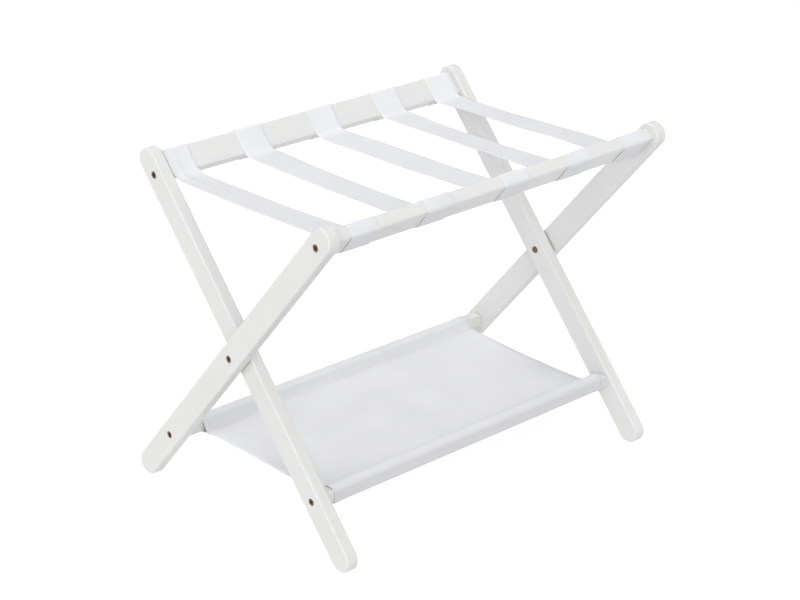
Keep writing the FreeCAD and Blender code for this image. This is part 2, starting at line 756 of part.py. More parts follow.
def export(parts):
    os.makedirs("parts", exist_ok=True)
    for part in parts:
        part.Shape.exportStep(f"parts/{part.Label}.step")
        box = part.Shape.BoundBox
        size = f"{box.XLength:.1f} x {box.YLength:.1f} x {box.ZLength:.1f} mm"
        print(part.Label, len(part.Shape.Solids), "solids", size)


bench = build()
check(bench)
export(bench)
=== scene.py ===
import json
import math
import bpy
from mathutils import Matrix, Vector, noise


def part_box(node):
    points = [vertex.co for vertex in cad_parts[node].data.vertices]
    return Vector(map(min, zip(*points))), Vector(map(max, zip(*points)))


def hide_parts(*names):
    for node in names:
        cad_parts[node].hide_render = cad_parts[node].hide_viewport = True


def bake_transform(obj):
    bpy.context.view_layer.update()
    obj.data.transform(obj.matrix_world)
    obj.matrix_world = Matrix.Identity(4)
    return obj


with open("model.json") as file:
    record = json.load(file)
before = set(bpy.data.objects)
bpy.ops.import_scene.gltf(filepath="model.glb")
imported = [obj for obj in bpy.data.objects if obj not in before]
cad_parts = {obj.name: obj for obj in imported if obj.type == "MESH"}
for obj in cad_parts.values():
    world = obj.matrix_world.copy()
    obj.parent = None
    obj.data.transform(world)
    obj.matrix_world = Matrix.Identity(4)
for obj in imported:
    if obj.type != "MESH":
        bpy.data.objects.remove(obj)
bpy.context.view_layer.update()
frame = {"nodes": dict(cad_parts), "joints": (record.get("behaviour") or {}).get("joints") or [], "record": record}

# A white folding luggage bench. The wooden frames and the hardware are the CAD nodes; the
# webbing straps and the cloth shelf are modelled here. Everything is in metres: X along the
# rails, -Y to the front, Z up from the floor.

MM = 0.001

# ---------------------------------------------------------------- the frame's own places

PIVOT = Vector(frame["joints"][0]["pos_m"])
HALF_ANGLE = math.radians(40.75)
LEAN_SIN = math.sin(HALF_ANGLE)
LEAN_COS = math.cos(HALF_ANGLE)
WOOD_ARRIS = 3 * MM
TOP_RAIL_DEPTH = 20 * MM
TOP_RAIL_WIDTH = 40 * MM
LOWER_RAIL_SIZE = 20 * MM
CLOTH_GAP = 0.3 * MM


def middle(node):
    """The middle of a CAD node's box."""
    low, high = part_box(node)
    return (Vector(low) + Vector(high)) / 2


TOP_RAIL = middle("rear_top_rail")          # the front one mirrors it in Y
LOWER_RAIL = middle("rear_lower_rail")

# ---------------------------------------------------------------- camera, floor and light

CAMERA_PLACE = (-1.9963, -2.1921, 1.5308)
CAMERA_TURN = (math.radians(66.77), 0, math.radians(-42.30))
CAMERA_LENS = 96.05
CAMERA_SENSOR = 36
CAMERA_REACH = 50
WORLD_ABOVE = 0.3               # how bright the studio is above the horizon
WORLD_BELOW = 0.755             # and below it, where it stands for a white table
HORIZON_BLEND = 0.25            # how far above and below the horizon one turns into the other
FLOOR_WIDTH = 24
BACKDROP_HEIGHT = 12
BACKDROP_STEPS = 72
FLOOR_TONE = (0.2, 0.2, 0.2)
FLOOR_ROUGHNESS = 0.9
FLOOR_GLOW = 0.85
LIGHT_WIDTH = 50                # degrees
LIGHT_DISTANCE = 3              # only sets the lamps apart: a sun shines alike from anywhere
WHITE = (1, 1, 1, 1)
LIGHTS = [
    # name, the direction it stands in, strength
    ("left", (-1, 0, 0.25), 0.93),
    ("front_left", (-0.8, -0.8, 0.6), 0.99),
    ("front", (-0.2, -1, 0.35), 0.57),
    ("front_right", (0.8, -0.8, 0.8), 0.37),
    ("back", (0, 1, 1), 1.22),
    ("top", (0, 0, 1), 0.94),
]


def add_camera():
    data = bpy.data.cameras.new("camera")
    data.lens = CAMERA_LENS
    data.sensor_width = CAMERA_SENSOR
    data.clip_end = CAMERA_REACH
    camera = bpy.data.objects.new("camera", data)
    camera.location = CAMERA_PLACE
    camera.rotation_euler = CAMERA_TURN
    bpy.context.scene.collection.objects.link(camera)
    bpy.context.scene.camera = camera


def add_light(name, direction, strength):
    """A broad, even light from one direction, as from a large diffuser far away."""
    data = bpy.data.lights.new(name, "SUN")
    data.angle = math.radians(LIGHT_WIDTH)
    data.energy = strength
    light = bpy.data.objects.new(name, data)
    light.location = Vector(direction) * LIGHT_DISTANCE
    light.rotation_euler = (-Vector(direction)).to_track_quat("-Z", "Y").to_euler()
    bpy.context.scene.collection.objects.link(light)


def add_world():
    """A white studio of one tone above the horizon and a brighter one below it."""
    world = bpy.data.worlds.new("studio")
    world.use_nodes = True
    tree = world.node_tree
    background = tree.nodes["Background"]
    direction = tree.nodes.new("ShaderNodeTexCoord").outputs["Generated"]
    split = tree.nodes.new("ShaderNodeSeparateXYZ")
    tree.links.new(direction, split.inputs[0])
    blend = tree.nodes.new("ShaderNodeMapRange")
    blend.interpolation_type = "SMOOTHSTEP"
    tree.links.new(split.outputs["Z"], blend.inputs["Value"])
    limits = {
        "From Min": -HORIZON_BLEND,
        "From Max": HORIZON_BLEND,
        "To Min": WORLD_BELOW,
        "To Max": WORLD_ABOVE,
    }
    for name, limit in limits.items():
        blend.inputs[name].default_value = limit
    tree.links.new(blend.outputs[0], background.inputs["Strength"])
    background.inputs["Color"].default_value = WHITE
    bpy.context.scene.world = world


def add_stage(name, verts, faces, material):
    """A lit surface round the bench. It is there to be seen: the light itself comes from the
    lamps and the world, which reach the bench through it."""
    mesh = bpy.data.meshes.new(name)
    mesh.from_pydata(verts, [], faces)
    mesh.materials.append(material)
    stage = bpy.data.objects.new(name, mesh)
    bpy.context.scene.collection.objects.link(stage)
    stage.visible_diffuse = False
    stage.visible_shadow = False
    return stage


def add_floor_and_backdrop():
    """A wide lit table, as products are photographed on, that glows and takes soft shadows,
    and far off a round pale wall, so that a low view sees no horizon."""
    material = new_material("floor", FLOOR_TONE, FLOOR_ROUGHNESS)
    shader = material.node_tree.nodes["Principled BSDF"]
    shader.inputs["Emission Color"].default_value = WHITE
    shader.inputs["Emission Strength"].default_value = FLOOR_GLOW
    half = FLOOR_WIDTH / 2
    corners = [(-half, -half, 0), (half, -half, 0), (half, half, 0), (-half, half, 0)]
    add_stage("floor", corners, [(0, 1, 2, 3)], material)
    ring = arc((0, 0), half, 0, 360, BACKDROP_STEPS)
    verts = [(x, y, z) for z in (0, BACKDROP_HEIGHT) for x, y in ring]
    count = len(ring)
    faces = [(i, i + 1, count + i + 1, count + i) for i in range(count - 1)]
    backdrop = add_stage("backdrop", verts, faces, material)
    backdrop.visible_glossy = False


# ---------------------------------------------------------------- material helpers

def new_material(name, colour, roughness):
    material = bpy.data.materials.new(name)
    material.use_nodes = True
    shader = material.node_tree.nodes["Principled BSDF"]
    shader.inputs["Base Color"].default_value = (*colour, 1)
    shader.inputs["Roughness"].default_value = roughness
    return material


class Tree:
    """Short calls for building a material's nodes."""

    def __init__(self, material):
        self.tree = material.node_tree
        self.shader = self.tree.nodes["Principled BSDF"]

    def add(self, kind, inputs=None, **settings):
        node = self.tree.nodes.new(kind)
        for key, setting in settings.items():
            setattr(node, key, setting)
        for key, source in (inputs or {}).items():
            self.feed(node.inputs[key], source)
        return node

    def feed(self, socket, source):
        if isinstance(source, bpy.types.NodeSocket):
            self.tree.links.new(source, socket)
        else:
            socket.default_value = source

    def maths(self, operation, first, second=0.0, third=0.0):
        inputs = {0: first, 1: second, 2: third}
        return self.add("ShaderNodeMath", inputs, operation=operation).outputs[0]

    def noise(self, vector, scale, detail=3.0, roughness=0.5):
        inputs = {"Vector": vector, "Scale": scale, "Detail": detail, "Roughness": roughness}
        return self.add("ShaderNodeTexNoise", inputs).outputs["Fac"]

    def stretch(self, vector, turn, scale):
        """Coordinates turned about X and scaled, so that noise runs along a grain."""
        turned = self.add("ShaderNodeMapping", {"Vector": vector, "Rotation": (turn, 0, 0)})
        inputs = {"Vector": turned.outputs[0], "Scale": scale}
        return self.add("ShaderNodeMapping", inputs).outputs[0]

    def mix(self, factor, low, high):
        """Between two colours."""
        node = self.add("ShaderNodeMix", data_type="RGBA")
        self.feed(node.inputs["Factor"], factor)
        self.feed(node.inputs["A"], (*low, 1))
        self.feed(node.inputs["B"], (*high, 1))
        return node.outputs["Result"]

    def ramp(self, value, low, high):
        """0 where the value is low or less, 1 where it is high or more."""
        inputs = {"Value": value, "From Min": low, "From Max": high}
        return self.add("ShaderNodeMapRange", inputs).outputs[0]

    def bump(self, height, distance, strength, normal=None):
        inputs = {"Height": height, "Distance": distance, "Strength": strength}
        if normal is not None:
            inputs["Normal"] = normal
        return self.add("ShaderNodeBump", inputs).outputs["Normal"]


# ---------------------------------------------------------------- materials

PAINT_LIGHT = (0.704, 0.706, 0.697)
PAINT_DARK = (0.68, 0.682, 0.673)
# Each cloth's dark colour is partly painted shade in its weave's hollows, partly random mottling.
CLOTH_LIGHT = (0.699, 0.704, 0.728)
CLOTH_DARK = (0.648, 0.653, 0.681)
SHELF_LIGHT = (0.727, 0.731, 0.752)
SHELF_DARK = (0.674, 0.678, 0.704)
THREAD_LIGHT = (0.82, 0.82, 0.84)
THREAD_DARK = (0.70, 0.70, 0.73)
BRONZE_LIGHT = (0.27, 0.16, 0.09)
BRONZE_DARK = (0.10, 0.05, 0.028)
ZINC_LIGHT = (0.62, 0.62, 0.63)
ZINC_DARK = (0.42, 0.42, 0.43)
NYLON = (0.80, 0.80, 0.78)
EASED_EDGE = 1.4 * MM           # how round paint makes the edges of the wood look
ALONG_GRAIN = 0.04              # noise is drawn out 25 times along the grain


def painted_wood(name, turn, scale):
    """Satin white paint, brushed along the grain, with the grain just showing through."""
    material = new_material(name, PAINT_LIGHT, 0.42)
    tree = Tree(material)
    place = tree.add("ShaderNodeTexCoord").outputs["Object"]
    grain_place = tree.stretch(place, turn, scale)
    grain = tree.noise(grain_place, scale=260, detail=5, roughness=0.6)
    brush = tree.noise(grain_place, scale=900, detail=2)
    cloud = tree.noise(place, scale=9, detail=2)
    shade = tree.maths("MULTIPLY_ADD", grain, 0.45, tree.maths("MULTIPLY", cloud, 0.55))
    colour = tree.mix(tree.ramp(shade, 0.35, 0.65), PAINT_DARK, PAINT_LIGHT)
    tree.feed(tree.shader.inputs["Base Color"], colour)
    rough = tree.maths("MULTIPLY_ADD", brush, 0.16, 0.34)
    tree.feed(tree.shader.inputs["Roughness"], rough)
    soft_edge = tree.add("ShaderNodeBevel", {"Radius": EASED_EDGE}, samples=6).outputs["Normal"]
    relief = tree.maths("MULTIPLY_ADD", brush, 0.4, tree.maths("MULTIPLY", grain, 0.6))
    normal = tree.bump(relief, distance=0.15 * MM, strength=0.35, normal=soft_edge)
    tree.feed(tree.shader.inputs["Normal"], normal)
    tree.shader.inputs["Specular IOR Level"].default_value = 0.45
    return material


def woven(name, light, dark, across_pitch, along_pitch, depth):
    """A plain weave laid out by the piece's own UVs, which are in metres: along, across."""
    material = new_material(name, light, 0.86)
    tree = Tree(material)
    uv = tree.add("ShaderNodeUVMap", uv_map="weave").outputs[0]
    parts = tree.add("ShaderNodeSeparateXYZ", {"Vector": uv})
    along = tree.maths("SINE", tree.maths("MULTIPLY", parts.outputs[0], math.pi / along_pitch))
    across = tree.maths("SINE", tree.maths("MULTIPLY", parts.outputs[1], math.pi / across_pitch))
    over_under = tree.maths("MULTIPLY_ADD", tree.maths("MULTIPLY", along, across), 0.5, 0.5)
    place = tree.add("ShaderNodeTexCoord").outputs["Object"]
    fuzz = tree.noise(place, scale=1400, detail=2, roughness=0.6)
    cloud = tree.noise(place, scale=14)
    height = tree.maths("MULTIPLY_ADD", fuzz, 0.5, over_under)
    # painted shade: the colour follows the weave's height, darker in its hollows, mixed with random mottling from
    # cloud
    tone = tree.maths("MULTIPLY_ADD", over_under, 0.35, tree.maths("MULTIPLY", cloud, 0.65))
    colour = tree.mix(tree.ramp(tone, 0.25, 0.7), dark, light)
    tree.feed(tree.shader.inputs["Base Color"], colour)
    tree.feed(tree.shader.inputs["Normal"], tree.bump(height, distance=depth, strength=0.5))
    tree.shader.inputs["Sheen Weight"].default_value = 0.12
    tree.shader.inputs["Sheen Roughness"].default_value = 0.6
    tree.shader.inputs["Specular IOR Level"].default_value = 0.2
    return material


def paint_light_and_shade_along(material, light_scale, changes):
    """Paint light and shade along a cloth's line by scaling its colour. The first scale is where it
    starts, and each change is where on the line it comes, half its length and the scale after it."""
    tree = Tree(material)
    uv = tree.add("ShaderNodeUVMap", uv_map="weave").outputs[0]
    along = tree.add("ShaderNodeSeparateXYZ", {"Vector": uv}).outputs[0]
    total = light_scale
    for place, reach, after in changes:
        limits = {"From Min": place - reach, "From Max": place + reach}
        levels = {"To Min": 0.0, "To Max": after - light_scale}
        step = tree.add("ShaderNodeMapRange", {"Value": along, **limits, **levels}).outputs[0]
        total = tree.maths("ADD", total, step)
        light_scale = after
    colour = tree.shader.inputs["Base Color"]
    inputs = {0: colour.links[0].from_socket, "Scale": total}
    tree.feed(colour, tree.add("ShaderNodeVectorMath", inputs, operation="SCALE").outputs[0])


def bronzed(name):
    """Dark bronzed steel, rubbed lighter in streaks."""
    material = new_material(name, BRONZE_LIGHT, 0.38)
    tree = Tree(material)
    place = tree.add("ShaderNodeTexCoord").outputs["Object"]
    rub = tree.noise(place, scale=420, detail=4, roughness=0.65)
    colour = tree.mix(tree.ramp(rub, 0.4, 0.65), BRONZE_DARK, BRONZE_LIGHT)
    tree.feed(tree.shader.inputs["Base Color"], colour)
    tree.feed(tree.shader.inputs["Roughness"], tree.maths("MULTIPLY_ADD", rub, 0.3, 0.25))
    tree.feed(tree.shader.inputs["Normal"], tree.bump(rub, distance=0.05 * MM, strength=0.3))
    tree.shader.inputs["Metallic"].default_value = 0.75
    return material


def moulded_nylon(name):
    """White nylon with the fine grain of its mould."""
    material = new_material(name, NYLON, 0.5)
    tree = Tree(material)
    place = tree.add("ShaderNodeTexCoord").outputs["Object"]
    grain = tree.noise(place, scale=1800, detail=2)
    tree.feed(tree.shader.inputs["Normal"], tree.bump(grain, distance=0.03 * MM, strength=0.3))
    tree.feed(tree.shader.inputs["Roughness"], tree.maths("MULTIPLY_ADD", grain, 0.2, 0.4))
    return material


def galvanised(name):
    """Zinc-coated wire with a faint spangle."""
    material = new_material(name, ZINC_LIGHT, 0.35)
    tree = Tree(material)
    place = tree.add("ShaderNodeTexCoord").outputs["Object"]
    spangle = tree.noise(place, scale=900, roughness=0.6)
    colour = tree.mix(tree.ramp(spangle, 0.35, 0.65), ZINC_DARK, ZINC_LIGHT)
    tree.feed(tree.shader.inputs["Base Color"], colour)
    tree.feed(tree.shader.inputs["Roughness"], tree.maths("MULTIPLY_ADD", spangle, 0.25, 0.25))
    tree.shader.inputs["Metallic"].default_value = 0.9
    return material


def dress_cad_nodes():
    """Give each carried-over CAD node its finish. The grain runs along each board."""
    along_x = (ALONG_GRAIN, 1, 1)
    along_z = (1, 1, ALONG_GRAIN)
    paints = {
        "outer_leg": painted_wood("paint_outer_legs", -HALF_ANGLE, along_z),
        "inner_leg": painted_wood("paint_inner_legs", HALF_ANGLE, along_z),
        "rail": painted_wood("paint_rails", 0, along_x),
    }
    others = {
        "bronzed_hardware": bronzed("bronzed_steel"),
        "white_nylon": moulded_nylon("white_nylon"),
        "staple_wire": galvanised("staple_wire"),
    }
    slots = {part["node"]: part["material_slot"] for part in frame["record"]["subparts"]}
    for name, node in frame["nodes"].items():
        material = others.get(slots[name])
        if material is None:
            kind = next((key for key in ("outer_leg", "inner_leg") if key in name), "rail")
            material = paints[kind]
        for place in node.material_slots:
            place.material = material


# ---------------------------------------------------------------- cloth as swept sheets

EASED_SHARE = 0.4               # of its thickness, by which a cloth's upper edges are rounded
NICKED_SHARE = 0.12             # and by which its lower ones are cut off


def arc(centre, radius, start, stop, steps=6):
    """Points on an arc, angles in degrees."""
    points = []
    for i in range(steps + 1):
        angle = math.radians(start + (stop - start) * i / steps)
        points.append((centre[0] + radius * math.cos(angle), centre[1] + radius * math.sin(angle)))
    return points


def bezier(p0, p1, p2, p3, steps):
    """Points on a cubic curve, without its first."""
    points = []
    for i in range(1, steps + 1):
        t = i / steps
        a, b, c, d = (1 - t) ** 3, 3 * t * (1 - t) ** 2, 3 * t * t * (1 - t), t ** 3
        points.append(tuple(a * p0[k] + b * p1[k] + c * p2[k] + d * p3[k] for k in (0, 1)))
    return points


def divide(points, longest):
    """The same line with no stretch longer than longest, so that it can ripple."""
    result = [points[0]]
    for start, stop in zip(points, points[1:]):
        length = math.dist(start, stop)
        count = max(1, math.ceil(length / longest))
        for i in range(1, count + 1):
            share = i / count
            result.append(tuple(start[k] + (stop[k] - start[k]) * share for k in (0, 1)))
    return result


class Line:
    """A cloth's middle line in the YZ plane, with its running length and its normals."""

    def __init__(self, points):
        self.points = points
        self.lengths = [0.0]
        for start, stop in zip(points, points[1:]):
            self.lengths.append(self.lengths[-1] + math.dist(start, stop))
        self.normals = []
        last = len(points) - 1
        for i in range(last + 1):
            before = points[max(i - 1, 0)]
            after = points[min(i + 1, last)]
            dy, dz = after[0] - before[0], after[1] - before[1]
            size = math.hypot(dy, dz)
            self.normals.append((-dz / size, dy / size))

    @property
    def length(self):
        return self.lengths[-1]

    def passes(self, y):
        """How far along the line is its first point in front of y."""
        return next(d for point, d in zip(self.points, self.lengths) if point[0] < y)

    def at(self, distance):
        """The place and normal at a distance along the line."""
        distance = min(max(distance, 0.0), self.length)
        i = next(k for k in range(1, len(self.lengths)) if distance <= self.lengths[k] + 1e-12)
        span = self.lengths[i] - self.lengths[i - 1]
        share = (distance - self.lengths[i - 1]) / span
        mixed = []
        for values in (self.points, self.normals):
            mixed.append(tuple(values[i - 1][k] * (1 - share) + values[i][k] * share for k in (0, 1)))
        return mixed


def cross_section(half_width, thickness, columns, under):
    """A cloth's section as (across, above) pairs, with its edges eased. under(across) says how
    much thicker the cloth is below."""
    half = thickness / 2
    ease = EASED_SHARE * thickness
    nick = NICKED_SHARE * thickness
    flat = half_width - ease
    top = [(-flat + 2 * flat * i / columns, half) for i in range(columns + 1)]
    right = []
    for angle in (60, 30, 0):
        turn = math.radians(angle)
        right.append((flat + ease * math.cos(turn), half - ease + ease * math.sin(turn)))
    right.append((half_width, nick - half))
    left = [(-across, above) for across, above in reversed(right)]
    base = half_width - nick
    bottom = [(base - 2 * base * i / columns, -half) for i in range(columns + 1)]
    loop = top + right + bottom + left
    return [(across, above - (under(across) if above < 0 else 0.0)) for across, above in loop]


def no_extra(across):
    return 0.0


def sweep(name, line, half_width, thickness, columns, place, under=no_extra):
    """A closed thin solid along a line. place(across, distance, y, z) moves each point of the
    cloth's middle surface to where it lies."""
    section = cross_section(half_width, thickness, columns, under)
    count = len(section)
    verts = []
    weave = []
    for (y, z), (ny, nz), distance in zip(line.points, line.normals, line.lengths):
        for across, above in section:
            x, ry, rz = place(across, distance, y, z)
            verts.append((x, ry + ny * above, rz + nz * above))
            weave.append((distance, across))
    faces = []
    rows = len(line.points)
    for row in range(rows - 1):
        for k in range(count):
            a = row * count + k
            b = row * count + (k + 1) % count
            faces.append((a, a + count, b + count, b))
    faces.append(tuple(range(count)))
    faces.append(tuple(reversed(range((rows - 1) * count, rows * count))))
    mesh = bpy.data.meshes.new(name)
    mesh.from_pydata(verts, [], faces)
    layer = mesh.uv_layers.new(name="weave")
    for loop in mesh.loops:
        layer.data[loop.index].uv = weave[loop.vertex_index]
    for face in mesh.polygons:
        face.use_smooth = len(face.vertices) == 4
    mesh.validate()
    piece = bpy.data.objects.new(name, mesh)
    bpy.context.scene.collection.objects.link(piece)
    return piece


def ripple(x, y, z, size):
    """Smooth unevenness between -1 and 1, over a length of about size."""
    return noise.noise(Vector((x, y, z)) / size)


# ---------------------------------------------------------------- webbing straps

STRAP_WIDTH = 50 * MM
STRAP_THICKNESS = 1.2 * MM
STRAP_GAP = 0.05 * MM
STRAP_BOW = 0.55 * MM           # how far the loop stands off the middle of the rail's outer face
BOW_SWELL = 1.6                 # how much fuller that bow is low down than high up
BOW_LOW = 9 * MM                # its curve's handles, from the lower and upper end of the face
BOW_HIGH = 12 * MM
STRAP_REAR = [-262 * MM, -127 * MM, 11 * MM, 143 * MM, 258 * MM]     # each strap's middle
STRAP_FRONT = [-259 * MM, -122 * MM, 27 * MM, 154 * MM, 273 * MM]
STRAP_SAG = 2.2 * MM
STRAP_LIE = [
    # how far each span's left and right edge lies above that sag, from the rear to the front
    ((-3.0, 0.2, 0.9, 2.1, 3.2), (-3.9, -3.0, -2.1, -0.3, 1.7)),
    ((-0.4, -0.8, -1.1, -1.2, -2.1), (0.2, -1.4, -2.6, -3.2, -3.1)),
    ((-2.1, -0.8, -2.0, -1.9, -3.2), (-0.7, 0.9, 0.1, -1.6, -1.6)),
    ((0.9, 1.5, 0.9, -0.5, -2.3), (-0.4, -2.3, -2.8, -3.1, -2.9)),
    ((0.9, 2.8, 2.7, 3.4, 0.4), (0.5, -0.7, 0.5, 1.2, -0.6)),
]
STRAP_WANDER = 0.5 * MM         # uneven to the sides, and over what length
WANDER_LENGTH = 60 * MM
STRAP_LIFT = 0.4 * MM           # uneven up and down, and over what length
LIFT_LENGTH = 90 * MM
STRAP_COLUMNS = 16
STRAP_STEP = 5 * MM             # the longest stretch of a loop's line
SPAN_STEPS = 36
BUNCHED_STRAP = 1               # drawn together on the rear rail, with a soft crease
BUNCHED_WIDTH = 0.87
GATHER_START = 60 * MM          # how far behind the pivots it starts to draw together
GATHER_REACH = 110 * MM
CREASE_PLACE = -9 * MM          # from the strap's middle
CREASE_WIDTH = 6.5 * MM
CREASE_HEIGHT = 1.5 * MM
CREASE_START = 2 * MM           # before the rail's inner face
CREASE_FADE = 3 * MM
TAIL_END = 8.5 * MM             # where the sewn-down end lies under the rail, from its middle
FACE_END = -18 * MM             # how far down the rail's inner face the strap lies flat
SPAN_START = 159 * MM           # where the bend off the rail ends
SPAN_HEIGHT = PIVOT.z + 217 * MM
BEND_HANDLE = 7 * MM            # how rounded that bend is
BEND_PLACE = 172.5 * MM         # where a strap leaves its rail's inner face
BEND_REACH = 16 * MM            # from there, over which the span's own unevenness begins
BLEND_TOP = 156 * MM            # within this of the pivots' plane, a strap follows both frames
WEBBING_WEAVE = (0.9 * MM, 1.3 * MM, 0.25 * MM)     # its pitches across and along, its depth
# The webbing's colour is scaled along its line: painted light on the rails, painted shade in the span.
REAR_PAINTED_LIGHT = 1.09           # painted light: the webbing's colour scaled up on the rear rail
SPAN_PAINTED_SHADE = 0.95           # painted shade: scaled down in the level span, which looks greyer
FRONT_PAINTED_LIGHT = 1.03          # painted light: scaled up on the front rail
PAINTED_LIGHT_FADE = 10 * MM


def loop_round_rail():
    """One end of a strap about the rail's middle, as (inward, upward): from its stapled end
    under the rail, up the outer face, over the top and down the inner face."""
    deep = TOP_RAIL_DEPTH / 2
    wide = TOP_RAIL_WIDTH / 2
    off = STRAP_GAP + STRAP_THICKNESS / 2
    radius = WOOD_ARRIS + off
    right, left = deep - WOOD_ARRIS, WOOD_ARRIS - deep
    high, low = wide - WOOD_ARRIS, WOOD_ARRIS - wide
    points = [(TAIL_END, -wide - off)]
    points += arc((left, low), radius, 270, 180)
    outside = points[-1][0]
    points += bezier(
        points[-1],
        (outside - BOW_SWELL * STRAP_BOW, low + BOW_LOW),
        (outside - STRAP_BOW, high - BOW_HIGH),
        (outside, high),
        8,
    )
    points += arc((left, high), radius, 180, 90)[1:]
    points += arc((right, high), radius, 90, 0)
    points.append((deep + off, FACE_END))
    return points


def strap_line():
    """A whole strap, from the rear rail to the front one, in the YZ plane."""
    rear = []
    for inward, upward in loop_round_rail():
        y = TOP_RAIL.y - inward * LEAN_COS + upward * LEAN_SIN
        z = TOP_RAIL.z + inward * LEAN_SIN + upward * LEAN_COS
        rear.append((y, z))
    leave = rear[-1]
    off_rail = (leave[0] - BEND_HANDLE * LEAN_SIN, leave[1] - BEND_HANDLE * LEAN_COS)
    slope = 2 * STRAP_SAG / SPAN_START
    level = (SPAN_START + BEND_HANDLE, SPAN_HEIGHT + slope * BEND_HANDLE)
    rear = divide(rear, STRAP_STEP)
    rear += bezier(leave, off_rail, level, (SPAN_START, SPAN_HEIGHT), 8)
    front = [(-y, z) for y, z in reversed(rear)]
    span = []
    for i in range(1, SPAN_STEPS):
        y = SPAN_START * (1 - 2 * i / SPAN_STEPS)
        span.append((y, SPAN_HEIGHT - STRAP_SAG * (1 - (y / SPAN_START) ** 2)))
    return Line(rear + span + front)


def smooth_step(value):
    value = min(max(value, 0.0), 1.0)
    return value * value * (3 - 2 * value)


def smooth_along(values, share):
    """A smooth curve through evenly spaced values, at a share of its length."""
    last = len(values) - 1
    place = min(max(share, 0.0), 1.0) * last
    i = min(int(place), last - 1)
    t = place - i
    a, b, c, d = (values[min(max(i + k, 0), last)] for k in (-1, 0, 1, 2))
    return b + t / 2 * (c - a + t * (2 * a - 5 * b + 4 * c - d + t * (3 * (b - c) + d - a)))


def bunching(across, y, z):
    """How the bunched strap lies at the rear: its width, and its crease as (y, z)."""
    gather = smooth_step((y - GATHER_START) / GATHER_REACH)
    width = 1 - (1 - BUNCHED_WIDTH) * gather
    inward = (TOP_RAIL.y - y) * LEAN_COS + (z - TOP_RAIL.z) * LEAN_SIN
    on_face = smooth_step((inward - TOP_RAIL_DEPTH / 2 + CREASE_START) / CREASE_FADE)
    ridge = math.exp(-((across - CREASE_PLACE) / CREASE_WIDTH) ** 2)
    rise = CREASE_HEIGHT * ridge * on_face * gather
    return width, (-rise * LEAN_COS, rise * LEAN_SIN)


def add_strap(number, rear, front, material):
    line = strap_line()
    left_lie, right_lie = STRAP_LIE[number - 1]

    def place(across, distance, y, z):
        share = min(max((BLEND_TOP - y) / (2 * BLEND_TOP), 0), 1)
        free = max(0.0, 1 - (y / BLEND_TOP) ** 2)
        wander = STRAP_WANDER * ripple(number * 3, distance, 0, WANDER_LENGTH)
        lift = STRAP_LIFT * free * ripple(number * 5, distance, across, LIFT_LENGTH)
        rightness = across / STRAP_WIDTH + 0.5
        edges = [smooth_along(heights, share) * MM for heights in (left_lie, right_lie)]
        off_rail = smooth_step((BEND_PLACE - abs(y)) / BEND_REACH)
        lie = off_rail * (edges[0] * (1 - rightness) + edges[1] * rightness)
        width, crease = 1.0, (0.0, 0.0)
        if number == BUNCHED_STRAP:
            width, crease = bunching(across, y, z)
        x = rear + (front - rear) * share + across * width + wander
        return x, y + crease[0], z + lift + lie + crease[1]

    name = f"webbing_strap_{number}"
    strap = sweep(name, line, STRAP_WIDTH / 2, STRAP_THICKNESS, STRAP_COLUMNS, place)
    strap.data.materials.append(material)
    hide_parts(f"strap_{number}")
    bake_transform(strap)


def webbing(name):
    """White webbing, with painted shade greying its level span and painted light on its rails."""
    material = woven(name, CLOTH_LIGHT, CLOTH_DARK, *WEBBING_WEAVE)
    line = strap_line()
    start = line.passes(BEND_PLACE - PAINTED_LIGHT_FADE)
    stop = line.length - start
    changes = [(start, PAINTED_LIGHT_FADE, SPAN_PAINTED_SHADE), (stop, PAINTED_LIGHT_FADE, FRONT_PAINTED_LIGHT)]
    paint_light_and_shade_along(material, REAR_PAINTED_LIGHT, changes)
    return material


def add_straps():
    material = webbing("white_webbing")
    for number, (rear, front) in enumerate(zip(STRAP_REAR, STRAP_FRONT), start=1):
        add_strap(number, rear, front, material)


# ---------------------------------------------------------------- cloth shelf

SHELF_LEFT = -274.5 * MM
SHELF_RIGHT = 280 * MM
SHELF_WIDTH = SHELF_RIGHT - SHELF_LEFT
SHELF_MIDDLE = (SHELF_LEFT + SHELF_RIGHT) / 2
SHELF_THICKNESS = 0.7 * MM
SHELF_COLUMNS = 70
SHELF_STEP = 4 * MM             # the longest stretch of a sleeve's line
PANEL_STEPS = 44
SHELF_WEAVE = (0.55 * MM, 0.55 * MM, 0.14 * MM)     # its pitches across and along, its depth
SEAM_IN = 18.7 * MM             # from the lower rail's middle inwards to the sleeve's seam
SEAM_DOWN = 6.9 * MM
SEAM_TURNING = 9 * MM           # cloth turned under beyond the seam
HEM_WIDTH = 11 * MM
HEM_STEP = 1.2 * MM             # over which the hem's second layer begins
SLEEVE_LEAVE = 22               # degrees short of level where the loose sleeve leaves the rail's top
SLEEVE_RETURN = 27              # degrees above level where it leaves the rail for the seam
SLEEVE_FULLNESS = 5.6 * MM      # how strongly the loose sleeve domes over the rail's top
SAG_LEFT = -1.5 * MM            # the panel's left edge stands a little proud, its right one hangs
SAG_RIGHT = 3.4 * MM
REAR_RISE = 4 * MM              # how much higher the rear seam sits away from its left end
REAR_RISE_SHARE = 0.3           # of the width, over which it rises
PULL_HEIGHT = 1.1 * MM          # long pulls in the panel, and over what length
PULL_LENGTH = 70 * MM
FOLD_HEIGHT = 0.5 * MM          # and smaller folds
FOLD_LENGTH = 28 * MM
EDGE_WANDER = 0.6 * MM          # how uneven the side edges are
EDGE_LENGTH = 30 * MM
LOOSE_HEIGHT = 0.35 * MM        # how uneven the sleeves are where they are loose
LOOSE_LENGTH = 40 * MM
LOOSE_START = 0.6 * MM          # how far above a rail a sleeve starts to count as loose
LOOSE_REACH = 1.2 * MM
PINCH_PLACE = 14 * MM           # where the front sleeve is pinched
PINCH_DEPTH = 1.3 * MM
PINCH_WIDTH = 8 * MM
PINCH_SLANT = 0.5               # how far it runs to the left for each step to the front
